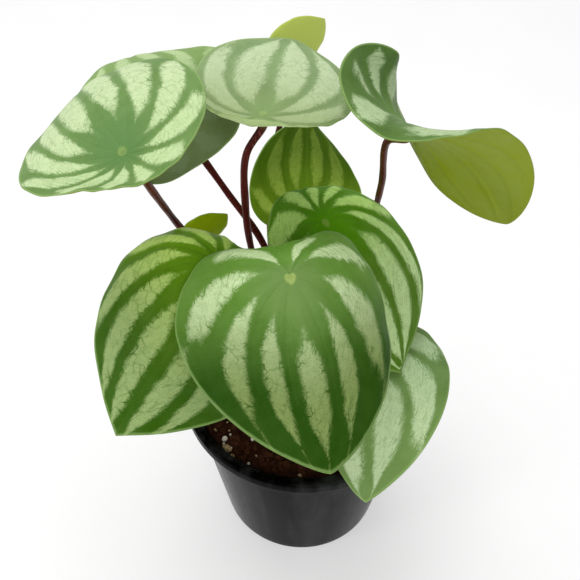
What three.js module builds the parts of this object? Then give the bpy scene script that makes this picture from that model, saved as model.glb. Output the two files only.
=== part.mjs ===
// A watermelon peperomia in a 9 cm nursery pot, in millimetres, +Z up.
// The origin is the centre of the pot's underside; the photo was taken from the -Y side.
import * as THREE from 'three';
import { mergeVertices } from 'three/addons/utils/BufferGeometryUtils.js';

// Driving dimensions
const GAP = 0.3;                // clearance kept between pieces that touch
const POT_HEIGHT = 72;
const POT_RIM_RADIUS = 45;
const POT_BASE_RADIUS = 32;
const POT_WALL = 1.6;
const POT_FLOOR = 2.2;
const LIP_HEIGHT = 5;           // the turned-out band round the rim
const LIP_STEP = 2.2;           // how far the band stands out from the wall
const SHOULDER_DROP = 4;        // second, smaller step below the band
const SOIL_LEVEL = 66;
const SOIL_RELIEF = 1.5;        // height of the lumps above and below the level
const CROWN_RADIUS = 8;
const CROWN_CENTRE_Z = 61;
const CROWN_FOOT_Z = 50;
const PETIOLE_RADIUS = 1.15;
const BLADE_THICKNESS = 0.8;

// Each leaf is a shield-shaped blade held at a hub inside its outline.
// hub: where the petiole meets the blade
// turn: heading of the tip from +X, its rise, and the roll about the midrib, in degrees
// size: length and width
// inside: share of the length that lies behind the hub
// bend: how far the blade curves up towards its tip, left side, base and right side, in degrees
// twist: added curl on the diagonals; cup: slope of the funnel at the hub, in degrees
// egg: how much wider the base half is; point: sharpness of the tip; notch: depth of the base notch
// start: azimuth and tilt from vertical where the petiole leaves the crown, in degrees
// via: places that the petiole passes through on its way to the hub
const LEAVES = {
  front: {
    hub: [-5.5, -25.5, 153], turn: [-76, -31, -4], size: [76, 70], inside: 0.27,
    bend: [9, -44, -31, -35], twist: -9, cup: -5, egg: 0.3, point: 0.5, notch: 0.12,
    start: [262, 56], via: [[-4, -22, 90], [-1, -29.5, 122]],
  },
  mid_right: {
    hub: [5.5, 13, 140], turn: [-52, -29, -8], size: [71, 59], inside: 0.21,
    bend: [-26, -20, -24, 11], twist: 10, cup: 3, egg: 0.15, point: 1.1, notch: 0.01,
    start: [60, 26], via: [[7, 19, 90], [5, 18, 115]],
  },
  left: {
    hub: [-26.5, -16, 146.5], turn: [-123, -22, -22], size: [78, 72], inside: 0.24,
    bend: [-20, -38, -73, -56], twist: 4, cup: -9, egg: 0.33, point: 0.9, notch: -0,
    start: [225, 56], via: [[-14, -7, 90], [-22, -11, 118]],
  },
  low_right: {
    hub: [20, -10.5, 103.5], turn: [-98, -6, 16], size: [72, 58], inside: 0.29,
    bend: [-24, -13, 11, -36], twist: 21, cup: -15, egg: 0.22, point: 0.7, notch: 0.1,
    start: [-20, 56], via: [[16, -6, 80]],
  },
  top_left: {
    hub: [-47.5, -21, 191.5], turn: [120, 12, -25], size: [61, 54], inside: 0.22,
    bend: [-52, 21, 34, -14], twist: -10, cup: 5, egg: 0.16, point: 0.1, notch: -0.05,
    start: [190, 56], via: [[-16, 5, 90], [-34, 12.5, 125], [-41, 11.5, 137.5], [-44, 3, 154]],
  },
  top_mid: {
    hub: [-13.5, 4.5, 186], turn: [78, -2, -3], size: [61, 47], inside: 0.24,
    bend: [-12, 20, 48, -15], twist: 6, cup: 6, egg: -0.05, point: 0.5, notch: -0.07,
    start: [215, 26], via: [[-9, 3, 95], [-18, 5.5, 133.5], [-19.5, 6, 153.5], [-18.3, 4, 173.5]],
  },
  top_right: {
    hub: [29, 6, 181.5], turn: [18, -34, -24], size: [84, 50], inside: 0.34,
    bend: [-41, 72, 5, 9], twist: -41, cup: 5, egg: 0.26, point: 0.4, notch: -0.01,
    start: [45, 56], via: [[17, 34, 80], [24, 43, 100], [25, 37, 123], [25, 27, 145], [23.5, 12, 173]],
  },
  back_left: {
    hub: [-41, 21, 175], turn: [126, 29, -16], size: [63, 52], inside: 0.31,
    bend: [-58, 2, -6, 34], twist: 19, cup: -5, egg: 0.17, point: -0.3, notch: 0.04,
    start: [150, 26], via: [[-8, 8, 100], [-14, 14, 127], [-27, 19, 148.5]],
  },
  back_mid: {
    hub: [0, 48, 115.5], turn: [86, 47, 8], size: [48, 44], inside: 0.21,
    bend: [-37, 6, -10, 1], twist: 22, cup: 4, egg: 0.34, point: 0.7, notch: 0.05,
    start: [85, 56], via: [[0, 26, 80], [-1, 46, 97]],
  },
  back_top: {
    hub: [-7.5, 64, 170], turn: [20, 35, -73], size: [24, 24], inside: 0.24,
    bend: [-1, 8, -3, 9], twist: -1, cup: 6, egg: 0.16, point: 0.7, notch: 0.05,
    start: [120, 56], via: [[-11, 32, 82], [-14, 69, 113], [-8, 74, 143], [-4, 64, 162]],
  },
  left_small: {
    hub: [-39.5, 26, 119.1], turn: [23, 29, -74], size: [20, 19], inside: 0.25,
    bend: [-5, 12, -2, 10], twist: -3, cup: 6, egg: 0.15, point: 0.7, notch: 0.05,
    start: [149, 56], via: [[-18, 18, 86], [-31, 23, 106]],
  },
};

const SMALL_LEAF = 30;          // leaves shorter than this get a coarser mesh
const BLADE_MESH = { sides: 30, rings: [0.16, 0.36, 0.56, 0.76, 0.9, 1] };
const SMALL_BLADE_MESH = { sides: 20, rings: [0.3, 0.6, 0.85, 1] };
const CURVE_STEPS = 24;         // steps in which a ray's curve is summed
const NOTCH_WIDTH = 0.33;       // half width of the base notch, in radians of the outline
const FUNNEL_SHARE = 0.2;       // share of the ray over which the funnel's slope builds up
const PETIOLE_STEPS = 20;
const PETIOLE_NECK = 3;         // straight run of the petiole under the blade
const PETIOLE_SIDES = 8;

// Colours from the photo
const POT_BLACK = 0x17181a;
const SOIL_BROWN = 0x2e1f19;
const LEAF_GREEN = 0x5f8a4c;
const PETIOLE_RED = 0x4f1b1d;
const CROWN_RED = 0x5a3028;

const radians = THREE.MathUtils.degToRad;

function material(colour, roughness) {
  return new THREE.MeshStandardMaterial({ color: colour, roughness, metalness: 0 });
}

function namedMesh(name, geometry, surface) {
  geometry.deleteAttribute('uv');
  geometry.deleteAttribute('normal');
  const closed = mergeVertices(geometry, 1e-3);
  closed.computeVertexNormals();
  const mesh = new THREE.Mesh(closed, surface);
  mesh.name = name;
  return mesh;
}

// Leaf blade

// Flat outline round the hub: across (left is positive) and along (towards the tip); theta 0 is the tip.
function outlinePoint(leaf, theta) {
  const [length, width] = leaf.size;
  const c = Math.cos(theta);
  const s = Math.sin(theta);
  const sharpness = 1 + leaf.point * ((1 + c) / 2) ** 4 - 0.12 * ((1 - c) / 2) ** 2;
  const halfWidth = (width / 2) * (1 - leaf.egg * c) / (1 + 0.5 * leaf.egg ** 2);
  const dent = leaf.notch * Math.exp(-(((theta - Math.PI) / NOTCH_WIDTH) ** 2));
  const across = halfWidth * Math.sign(s) * Math.abs(s) ** sharpness;
  const along = length * (0.5 + 0.5 * c + dent - leaf.inside);
  return [across, along];
}

// Directions of the blade at its hub: along the midrib, to its left, and up out of its face.
function bladeAxes(leaf) {
  const [heading, rise, roll] = leaf.turn.map(radians);
  const along = new THREE.Vector3(
    Math.cos(rise) * Math.cos(heading), Math.cos(rise) * Math.sin(heading), Math.sin(rise));
  const level = new THREE.Vector3(-Math.sin(heading), Math.cos(heading), 0);
  const left = level.clone().applyAxisAngle(along, roll);
  const up = along.clone().cross(left);
  return { along, left, up };
}

// Point of the blade's middle surface: every ray from the hub curves in its own upright plane.
function bladePoint(leaf, axes, theta, share) {
  const [across, along] = outlinePoint(leaf, theta);
  const reach = Math.hypot(across, along);
  const phi = Math.atan2(across, along);
  const [tip, left, base, right] = leaf.bend;
  const bend = radians(
    (tip + left + base + right) / 4
    + (tip - base) / 2 * Math.cos(phi)
    + (left - right) / 2 * Math.sin(phi)
    + (tip - left + base - right) / 4 * Math.cos(2 * phi)
    + leaf.twist * Math.sin(2 * phi));
  const cup = radians(leaf.cup);
  let flat = 0;
  let rise = 0;
  for (let i = 0; i < CURVE_STEPS; i += 1) {
    const w = share * (i + 0.5) / CURVE_STEPS;
    const slope = cup * Math.min(w / FUNNEL_SHARE, 1) + bend * w;
    flat += Math.cos(slope);
    rise += Math.sin(slope);
  }
  const step = reach * share / CURVE_STEPS;
  return new THREE.Vector3(...leaf.hub)
    .addScaledVector(axes.along, flat * step * Math.cos(phi))
    .addScaledVector(axes.left, flat * step * Math.sin(phi))
    .addScaledVector(axes.up, rise * step);
}

// Thick blade: the middle surface offset to both sides, with matching triangles, and a rim between.
function bladeGeometry(leaf) {
  const { sides, rings } = leaf.size[0] < SMALL_LEAF ? SMALL_BLADE_MESH : BLADE_MESH;
  const axes = bladeAxes(leaf);
  const middle = [bladePoint(leaf, axes, 0, 0)];
  for (const share of rings) {
    for (let j = 0; j < sides; j += 1) {
      middle.push(bladePoint(leaf, axes, 2 * Math.PI * j / sides, share));
    }
  }
  const at = (ring, j) => 1 + ring * sides + (j % sides);
  const faces = [];
  for (let j = 0; j < sides; j += 1) {
    faces.push([0, at(0, j), at(0, j + 1)]);
    for (let ring = 0; ring < rings.length - 1; ring += 1) {
      faces.push([at(ring, j), at(ring + 1, j), at(ring + 1, j + 1)]);
      faces.push([at(ring, j), at(ring + 1, j + 1), at(ring, j + 1)]);
    }
  }
  const normals = middle.map(() => new THREE.Vector3());
  for (const [a, b, c] of faces) {
    const normal = middle[b].clone().sub(middle[a]).cross(middle[c].clone().sub(middle[a]));
    for (const corner of [a, b, c]) normals[corner].add(normal);
  }
  const positions = [];
  for (const side of [0.5, -0.5]) {
    middle.forEach((point, i) => {
      const moved = point.clone().addScaledVector(normals[i].normalize(), side * BLADE_THICKNESS);
      positions.push(moved.x, moved.y, moved.z);
    });
  }
  const under = middle.length;
  const rim = rings.length - 1;
  const index = [];
  for (const [a, b, c] of faces) index.push(a, b, c, under + a, under + c, under + b);
  for (let j = 0; j < sides; j += 1) {
    const [a, b] = [at(rim, j), at(rim, j + 1)];
    index.push(a, under + a, under + b, a, under + b, b);
  }
  const geometry = new THREE.BufferGeometry();
  geometry.setAttribute('position', new THREE.Float32BufferAttribute(positions, 3));
  geometry.setIndex(index);
  return geometry;
}

// Petiole: a round stalk from the crown's dome to just under the blade's hub
function petioleGeometry(leaf) {
  const [azimuth, tilt] = leaf.start.map(radians);
  const out = new THREE.Vector3(
    Math.sin(tilt) * Math.cos(azimuth), Math.sin(tilt) * Math.sin(azimuth), Math.cos(tilt));
  const crownCentre = new THREE.Vector3(0, 0, CROWN_CENTRE_Z);
  const { up } = bladeAxes(leaf);
  const hub = new THREE.Vector3(...leaf.hub);
  const points = [
    crownCentre.clone().addScaledVector(out, CROWN_RADIUS + GAP),
    crownCentre.clone().addScaledVector(out, CROWN_RADIUS + GAP + 3),
    ...leaf.via.map((place) => new THREE.Vector3(...place)),
    hub.clone().addScaledVector(up, -PETIOLE_NECK),
    hub.clone().addScaledVector(up, -BLADE_THICKNESS / 2 - 1.5 * GAP),
  ];
  const route = new THREE.CatmullRomCurve3(points, false, 'centripetal');
  const section = new THREE.Shape();
  for (let i = 0; i < PETIOLE_SIDES; i += 1) {
    const angle = 2 * Math.PI * i / PETIOLE_SIDES;
    const place = [PETIOLE_RADIUS * Math.cos(angle), PETIOLE_RADIUS * Math.sin(angle)];
    if (i === 0) section.moveTo(...place);
    else section.lineTo(...place);
  }
  section.closePath();
  return new THREE.ExtrudeGeometry(section, {
    extrudePath: route, steps: PETIOLE_STEPS, bevelEnabled: false,
  });
}

// Pot: a thin tapered wall with a turned-out band at the rim and a small shoulder under it
const wallRadius = (z) => POT_BASE_RADIUS
  + (POT_RIM_RADIUS - LIP_STEP - POT_BASE_RADIUS) * (z / POT_HEIGHT);

function potProfile() {
  const bandFoot = POT_HEIGHT - LIP_HEIGHT;
  const shoulder = bandFoot - SHOULDER_DROP;
  return [
    [0, 0],
    [POT_BASE_RADIUS - 1.5, 0],
    [POT_BASE_RADIUS, 1.5],
    [wallRadius(shoulder) - 0.3, shoulder],
    [wallRadius(shoulder) + 0.9, shoulder + 0.8],
    [wallRadius(bandFoot) + 0.7, bandFoot],
    [POT_RIM_RADIUS - 0.5, bandFoot],
    [POT_RIM_RADIUS, bandFoot + 0.6],
    [POT_RIM_RADIUS, POT_HEIGHT - 0.8],
    [POT_RIM_RADIUS - 0.8, POT_HEIGHT],
    [wallRadius(POT_HEIGHT) - POT_WALL + 0.5, POT_HEIGHT],
    [wallRadius(POT_HEIGHT) - POT_WALL, POT_HEIGHT - 0.6],
    [wallRadius(POT_FLOOR) - POT_WALL, POT_FLOOR + 1.5],
    [wallRadius(POT_FLOOR) - POT_WALL - 1.5, POT_FLOOR],
    [0, POT_FLOOR],
  ].map(([radius, z]) => new THREE.Vector2(radius, z));
}

function lathe(profile, sides) {
  const geometry = new THREE.LatheGeometry(profile, sides);
  geometry.rotateX(Math.PI / 2);
  return geometry;
}

// Soil: fills the pot, its top broken into lumps, with a plain hole for the crown
const soilRadius = (z) => wallRadius(z) - POT_WALL - GAP - 0.3;

function lumps(x, y) {
  const coarse = Math.sin(0.42 * x + 1.3) * Math.cos(0.37 * y - 0.6) + 0.7 * Math.sin(0.31 * (x - y) + 2.1);
  const fine = 0.5 * Math.sin(0.93 * x - 0.4) * Math.sin(0.88 * y + 1.7);
  return SOIL_RELIEF * (coarse + fine) / 2.2;
}

function soilGeometry() {
  const hole = CROWN_RADIUS + GAP;
  const foot = POT_FLOOR + GAP;
  const rings = [hole + 4, 16, 20, 24, 28, 32, 36];
  const edge = soilRadius(SOIL_LEVEL);
  const profile = [
    [0, foot],
    [soilRadius(foot) - 1.6, foot],
    [soilRadius(foot), foot + 1.8],
    [edge, SOIL_LEVEL - 2],
    [edge - 0.4, SOIL_LEVEL - 1],
    ...rings.slice().reverse().map((radius) => [radius, SOIL_LEVEL]),
    [hole, SOIL_LEVEL - 2],
    [hole, CROWN_FOOT_Z - GAP],
    [0, CROWN_FOOT_Z - GAP],
  ].map(([radius, z]) => new THREE.Vector2(radius, z));
  const geometry = lathe(profile, 40);
  const position = geometry.attributes.position;
  for (let i = 0; i < position.count; i += 1) {
    const [x, y, z] = [position.getX(i), position.getY(i), position.getZ(i)];
    const radius = Math.hypot(x, y);
    if (Math.abs(z - SOIL_LEVEL) < 0.01) {
      const nearCrown = THREE.MathUtils.smoothstep(radius, hole, 18);
      position.setZ(i, z - 1.4 * (1 - nearCrown) + nearCrown * lumps(x, y));
    }
  }
  return geometry;
}

// Crown: the short fleshy stem, a dome on a straight foot that stands in the soil's hole
function crownGeometry() {
  const profile = [
    [0, CROWN_FOOT_Z],
    [CROWN_RADIUS - 1.5, CROWN_FOOT_Z],
    [CROWN_RADIUS - 0.2, CROWN_FOOT_Z + 2],
  ];
  const bands = 6;
  for (let i = 0; i <= bands; i += 1) {
    const lift = Math.PI / 2 * i / bands;
    profile.push([CROWN_RADIUS * Math.cos(lift), CROWN_CENTRE_Z + CROWN_RADIUS * Math.sin(lift)]);
  }
  profile[profile.length - 1][0] = 0;
  return lathe(profile.map(([radius, z]) => new THREE.Vector2(radius, z)), 20);
}

// The whole plant in its pot
const plant = new THREE.Group();
plant.add(namedMesh('pot', lathe(potProfile(), 48), material(POT_BLACK, 0.35)));
plant.add(namedMesh('soil', soilGeometry(), material(SOIL_BROWN, 0.95)));
plant.add(namedMesh('crown', crownGeometry(), material(CROWN_RED, 0.6)));
for (const [name, leaf] of Object.entries(LEAVES)) {
  plant.add(namedMesh(`${name}_blade`, bladeGeometry(leaf), material(LEAF_GREEN, 0.45)));
  plant.add(namedMesh(`${name}_petiole`, petioleGeometry(leaf), material(PETIOLE_RED, 0.5)));
}

export default plant;
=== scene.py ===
"""A watermelon peperomia in a small nursery pot: leaf pattern, veins, soil and finish on the CAD frame.

Lengths are in mm until meshes are made, but in metres for the floor, the lights and the camera.
"""
import math

import bmesh
import bpy
import numpy as np
from mathutils import Matrix, Vector


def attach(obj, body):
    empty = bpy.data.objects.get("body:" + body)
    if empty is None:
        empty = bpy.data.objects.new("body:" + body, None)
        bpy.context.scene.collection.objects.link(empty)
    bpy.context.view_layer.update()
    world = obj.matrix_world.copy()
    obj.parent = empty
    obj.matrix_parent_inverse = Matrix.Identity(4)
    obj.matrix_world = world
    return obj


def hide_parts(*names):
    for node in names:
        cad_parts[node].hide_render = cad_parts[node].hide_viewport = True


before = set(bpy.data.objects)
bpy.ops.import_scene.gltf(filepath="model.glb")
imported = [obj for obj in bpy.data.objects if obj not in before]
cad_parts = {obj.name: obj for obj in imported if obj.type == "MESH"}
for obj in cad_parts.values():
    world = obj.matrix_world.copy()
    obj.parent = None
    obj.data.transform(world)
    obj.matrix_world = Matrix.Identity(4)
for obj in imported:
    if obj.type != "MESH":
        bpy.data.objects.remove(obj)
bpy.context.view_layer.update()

MM = 0.001

# Shared with the CAD part, lengths in mm
GAP = 0.3
POT_HEIGHT = 72.0
POT_RIM_RADIUS = 45.0
POT_BASE_RADIUS = 32.0
POT_WALL = 1.6
POT_FLOOR = 2.2
LIP_HEIGHT = 5.0
LIP_STEP = 2.2
SHOULDER_DROP = 4.0
SOIL_LEVEL = 66.0
SOIL_RELIEF = 1.5
CROWN_RADIUS = 8.0
CROWN_CENTRE_Z = 61.0
CROWN_FOOT_Z = 50.0
PETIOLE_RADIUS = 1.15
PETIOLE_NECK = 3.0
BLADE_THICKNESS = 0.8
CURVE_STEPS = 24
NOTCH_WIDTH = 0.33
FUNNEL_SHARE = 0.2

# Fineness of the meshes: sides and rings, and the length in mm under which a leaf has the small mesh
BLADE_MESH = (216, 54)
SMALL_BLADE_MESH = (96, 26)
SMALL_LEAF = 30.0
RING_SPACING = 0.92
STALK_SIDES = 16
STALK_STEPS = 16
POT_SIDES = 160
SOIL_SIDES = 200
SOIL_RINGS = 62
CROWN_SIDES = 72
CROWN_RINGS = 24
ARC_STEPS = 5
LUMP_SUBDIVISIONS = 2

# Relief of the blades in mm on a leaf RELIEF_LENGTH long, then for the edge the shares by which it thins and
# stands out, and where its colour lies from the lower face at 0 to the upper at 1
RELIEF_LENGTH = 75.0
PUFF_HEIGHT = 0.16
GROOVE_DEPTH = 0.22
RIB_HEIGHT = 0.28
HUB_ABOVE = 0.30
HUB_BELOW = 0.45
EDGE_THINNING = 0.55
RIM_OVERHANG = 0.12
RIM_FACE = 0.8

# Stalks: mm past the ends of the CAD route, and the (share, length) of the swollen foot and flared top
FOOT_SINK = 1.2
TOP_REACH = 0.55
FOOT_SWELL = (0.22, 4.0)
TOP_FLARE = (0.35, 1.6)

# Soil: how far in mm its top rises towards the wall and sinks about the crown
BANK_RISE = 1.3
CROWN_HOLLOW = 1.4

# Shading: degrees between veins from which a band has its full height, how far veins stray as a share of a
# turn, how clear the pale mark at most hubs is, and bumps in mm
FULL_BAND = 22.0
VEIN_WOBBLE = 0.022
FAINT_SPOT = 0.3
LEAF_BUMP = 0.09
STALK_BUMP = 0.10
POT_BUMP = 0.05
SOIL_BUMP = 0.5
GRAIN_BUMP = 0.18
CROWN_BUMP = 0.2

# The leaves' forms, as in the CAD part: hub in mm; turn is heading, rise and roll; size is length and
# width; inside is the share behind the hub; bend is tip, left, base and right; start is azimuth and
# tilt of the petiole's foot, and via the places that it passes. Angles are in degrees.
# ripple is the height of the small waves along the edge, in mm, and is not in the CAD part.
# The rest is the pattern. veins: angles at which the dark veins leave the hub, 0 to the tip and 180 to the
# base, positive to the left; drift and draw: where the veins meet, to the left of the line to the tip and
# along it, as shares of the blade; silver: width of the pale bands as a share of the space between veins;
# bands: shares of the way to the edge between which they lie; spot: how clear the pale mark at the hub is.
PLAIN_VEINS = (-180, -154, -124, -92, -50, 0, 50, 92, 124, 154, 180)
LEAVES = {
    "front": dict(
        hub=(-5.5, -25.5, 153), turn=(-76, -31, -4), size=(76, 70), inside=0.27,
        bend=(9, -44, -31, -35), twist=-9, cup=-5, egg=0.3, point=0.5, notch=0.12, ripple=0.35,
        start=(262, 56), via=[(-4, -22, 90), (-1, -29.5, 122)],
        veins=(-180, -172, -135, -99, -63, -21, 28, 70, 120, 149, 172, 180),
        drift=-0.01, draw=0.91, silver=0.55, bands=(0.30, 0.92), spot=0.8),
    "mid_right": dict(
        hub=(5.5, 13, 140), turn=(-52, -29, -8), size=(71, 59), inside=0.21,
        bend=(-26, -20, -24, 11), twist=10, cup=3, egg=0.15, point=1.1, notch=0.01, ripple=0.3,
        start=(60, 26), via=[(7, 19, 90), (5, 18, 115)],
        veins=(-180, -150, -115, -78, -28, 37, 92, 117, 143, 160, 180),
        drift=0.04, draw=1.00, silver=0.66, bands=(0.33, 1.02)),
    "left": dict(
        hub=(-26.5, -16, 146.5), turn=(-123, -22, -22), size=(78, 72), inside=0.24,
        bend=(-20, -38, -73, -56), twist=4, cup=-9, egg=0.33, point=0.9, notch=0, ripple=0.4,
        start=(225, 56), via=[(-14, -7, 90), (-22, -11, 118)],
        veins=(-180, -159, -135, -114, -84, -44, 3, 49, 82, 115, 147, 180),
        drift=-0.02, draw=0.88, silver=0.60, bands=(0.28, 1.03)),
    "low_right": dict(
        hub=(20, -10.5, 103.5), turn=(-98, -6, 16), size=(72, 58), inside=0.29,
        bend=(-24, -13, 11, -36), twist=21, cup=-15, egg=0.22, point=0.7, notch=0.1, ripple=0.3,
        start=(-20, 56), via=[(16, -6, 80)],
        veins=(-180, -152, -126, -102, 12, 77, 122, 156, 180),
        drift=0.00, draw=0.97, silver=0.74, bands=(0.32, 0.97)),
    "top_left": dict(
        hub=(-47.5, -21, 191.5), turn=(120, 12, -25), size=(61, 54), inside=0.22,
        bend=(-52, 21, 34, -14), twist=-10, cup=5, egg=0.16, point=0.1, notch=-0.05, ripple=0.3,
        start=(190, 56), via=[(-16, 5, 90), (-34, 12.5, 125), (-41, 11.5, 137.5), (-44, 3, 154)],
        veins=(-180, -162, -134, -107, -75, -37, 2, 43, 77, 105, 128, 156, 180),
        drift=0.12, draw=0.72, silver=0.73, bands=(0.30, 1.00)),
    "top_mid": dict(
        hub=(-13.5, 4.5, 186), turn=(78, -2, -3), size=(61, 47), inside=0.24,
        bend=(-12, 20, 48, -15), twist=6, cup=6, egg=-0.05, point=0.5, notch=-0.07, ripple=0.3,
        start=(215, 26), via=[(-9, 3, 95), (-18, 5.5, 133.5), (-19.5, 6, 153.5), (-18.3, 4, 173.5)],
        veins=(-180, -146, -98, -53, 9, 78, 126, 152, 180),
        drift=0.06, draw=0.97, silver=0.73, bands=(0.17, 0.98)),
    "top_right": dict(
        hub=(29, 6, 181.5), turn=(18, -34, -24), size=(84, 50), inside=0.34,
        bend=(-41, 72, 5, 9), twist=-41, cup=5, egg=0.26, point=0.4, notch=-0.01, ripple=0.3,
        start=(45, 56), via=[(17, 34, 80), (24, 43, 100), (25, 37, 123), (25, 27, 145), (23.5, 12, 173)],
        veins=(-180, -158, -118, -88, -50, 0, 50, 90, 118, 150, 168, 180),
        drift=0.04, draw=0.95, silver=0.62, bands=(0.42, 1.00)),
    "back_left": dict(
        hub=(-41, 21, 175), turn=(126, 29, -16), size=(63, 52), inside=0.31,
        bend=(-58, 2, -6, 34), twist=19, cup=-5, egg=0.17, point=-0.3, notch=0.04, ripple=0.3,
        start=(150, 26), via=[(-8, 8, 100), (-14, 14, 127), (-27, 19, 148.5)],
        veins=PLAIN_VEINS,
        drift=0.00, draw=0.90, silver=0.56, bands=(0.34, 0.97)),
    "back_mid": dict(
        hub=(0, 48, 115.5), turn=(86, 47, 8), size=(48, 44), inside=0.21,
        bend=(-37, 6, -10, 1), twist=22, cup=4, egg=0.34, point=0.7, notch=0.05, ripple=0.25,
        start=(85, 56), via=[(0, 26, 80), (-1, 46, 97)],
        veins=(-180, -140, -108, -56, 2, 59, 108, 140, 180),
        drift=0.02, draw=0.97, silver=0.58, bands=(0.24, 0.94)),
    "back_top": dict(
        hub=(-7.5, 64, 170), turn=(20, 35, -73), size=(24, 24), inside=0.24,
        bend=(-1, 8, -3, 9), twist=-1, cup=6, egg=0.16, point=0.7, notch=0.05, ripple=0.15,
        start=(120, 56), via=[(-11, 32, 82), (-14, 69, 113), (-8, 74, 143), (-4, 64, 162)],
        veins=PLAIN_VEINS,
        drift=0.00, draw=0.95, silver=0.60, bands=(0.34, 0.97)),
    "left_small": dict(
        hub=(-39.5, 26, 119.1), turn=(23, 29, -74), size=(20, 19), inside=0.25,
        bend=(-5, 12, -2, 10), twist=-3, cup=6, egg=0.15, point=0.7, notch=0.05, ripple=0.15,
        start=(149, 56), via=[(-18, 18, 86), (-31, 23, 106)],
        veins=PLAIN_VEINS,
        drift=0.00, draw=0.95, silver=0.60, bands=(0.34, 0.97)),
}

# Screen colours of the leaves, from 0 to 255: about the hub, between the bands near the hub and near the
# tip, the pale bands likewise, and the lower face. The leaves share one colour, so much of what differs from
# leaf
# to leaf is painted light and shade: painted sheen pales the upper leaves and painted shade mutes
# back_left's bands. The change from near the hub to near the tip is painted shade and light, the colour
# about the hub is a grey bloom with painted sheen, and the lower face is its own pale green with a painted
# glow of light through the leaf.
TINT_PARTS = ("bloom_and_sheen", "deep", "deep_far", "light", "light_far", "under")
TINTS = {
    "front": (
        (120, 152, 86), (106, 154, 52), (36, 77, 2), (223, 244, 192), (132, 152, 88), (132, 148, 44)),
    "mid_right": (
        (88, 150, 5), (80, 134, 2), (86, 130, 20), (190, 226, 130), (208, 236, 170), (132, 148, 44)),
    "left": (
        (88, 134, 16), (102, 150, 2), (55, 99, 2), (206, 236, 126), (162, 186, 120), (132, 148, 44)),
    "low_right": (
        (114, 150, 82), (122, 157, 87), (118, 152, 79), (206, 232, 184), (204, 225, 178), (132, 148, 44)),
    "top_left": (
        (94, 132, 74), (104, 138, 72), (108, 143, 78), (193, 215, 160), (203, 220, 175), (150, 164, 70)),
    "top_mid": (
        (132, 158, 100), (128, 150, 98), (134, 160, 108), (165, 183, 134), (193, 210, 169), (198, 220, 154)),
    "top_right": (
        (108, 142, 70), (86, 120, 52), (92, 126, 54), (184, 205, 158), (178, 200, 150), (140, 155, 31)),
    "back_left": (
        (98, 116, 74), (108, 126, 80), (132, 164, 94), (112, 130, 94), (184, 206, 152), (132, 148, 60)),
    "back_mid": (
        (96, 130, 24), (112, 150, 26), (60, 90, 4), (174, 203, 87), (102, 127, 44), (132, 148, 44)),
    "back_top": (
        (176, 190, 90), (170, 186, 84), (170, 186, 84), (186, 200, 108), (186, 200, 108), (202, 219, 104)),
    "left_small": (
        (120, 146, 24), (112, 138, 12), (112, 138, 12), (140, 164, 50), (140, 164, 50), (155, 183, 8)),
}

# Colours that shaders take, from 0 to 1
BLACK = (0, 0, 0)
STALK_DARK = (0.042, 0.006, 0.005)
STALK_RED = (0.125, 0.013, 0.011)
STALK_FOOT = (0.210, 0.036, 0.030)
STALK_FLECK = (0.240, 0.075, 0.050)
STALK_TOP = (0.230, 0.200, 0.060)
POT_BLACK = (0.0004, 0.0004, 0.0004)
# The pot's lighter tone: worn plastic, and the painted sheen in its upright bands
POT_WORN_AND_SHEEN = (0.0240, 0.0256, 0.0244)
POT_DUST = (0.150, 0.125, 0.105)
POT_SCUFF = (0.060, 0.058, 0.056)
CROWN_DARK = (0.060, 0.018, 0.014)
CROWN_LIGHT = (0.170, 0.060, 0.035)
CROWN_SCAR = (0.260, 0.160, 0.080)
FLOOR_DARK = (0.52, 0.52, 0.52)
FLOOR_LIGHT = (0.56, 0.56, 0.56)

# The same, as dark, light and fleck
SOIL_COLOURS = ((0.004, 0.0012, 0.0007), (0.072, 0.022, 0.010), (0.170, 0.070, 0.036))
CRUMB_COLOURS = ((0.014, 0.004, 0.002), (0.100, 0.034, 0.016), (0.220, 0.100, 0.056))
BARK_COLOURS = ((0.200, 0.110, 0.055), (0.620, 0.460, 0.280))
PERLITE_COLOURS = ((0.780, 0.700, 0.640), (0.950, 0.910, 0.860))

# Bits on the soil, in mm. seen: x, y and size of those seen in the photo; count and sizes: the random
# ones; inner and from_edge: their least distances from the middle and from the soil's edge; sink: the share
# that is buried.
CRUMBS = dict(
    seen=np.empty((0, 3)), count=560, sizes=(0.5, 1.8), inner=10, from_edge=1.9, sink=0.30, flatness=0.75,
    roughness=0.45)
BARK = dict(
    seen=np.array([(-27.0, -27.8, 1.5), (-25.3, -30.2, 0.9), (-1.4, -38.4, 0.8), (-22.0, -31.0, 0.7),
                   (-28.4, -27.0, 0.8)]),
    count=40, sizes=(0.4, 1.1), inner=11, from_edge=1.6, sink=0.2, flatness=0.55, roughness=0.35)
PERLITE = dict(
    seen=np.array([(-28.4, -23.6, 1.3), (-19.4, -33.6, 0.7), (-12.4, -37.8, 0.6), (-10.0, -36.4, 0.5),
                   (-26.0, -27.6, 0.6), (-28.6, -25.6, 0.5)]),
    count=60, sizes=(0.25, 0.6), inner=11, from_edge=1.2, sink=0.1, flatness=0.90, roughness=0.25)

# Layers of the soil's crumb noise, and the side of each one's table of random values
NOISE_OCTAVES = 3
NOISE_TABLE = 64

# Floor and soft lights, in metres and watts; a light's size is its width and height
FLOOR_HALF_SIZE = 2.5
FLOOR_GLOW = 0.46
WORLD_STRENGTH = 0.42
LIGHTS = {
    "key_softbox": dict(place=(-0.10, 0.22, 1.00), target=(0, 0, 0.12), size=(0.75, 0.75), power=6.5),
    "front_softbox": dict(place=(0.15, -0.80, 0.70), target=(0, 0, 0.10), size=(0.5, 0.5), power=1.6),
    "left_strip": dict(place=(-0.70, -0.35, 0.30), target=(0, 0, 0.05), size=(0.20, 0.6), power=1.5),
}

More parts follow.
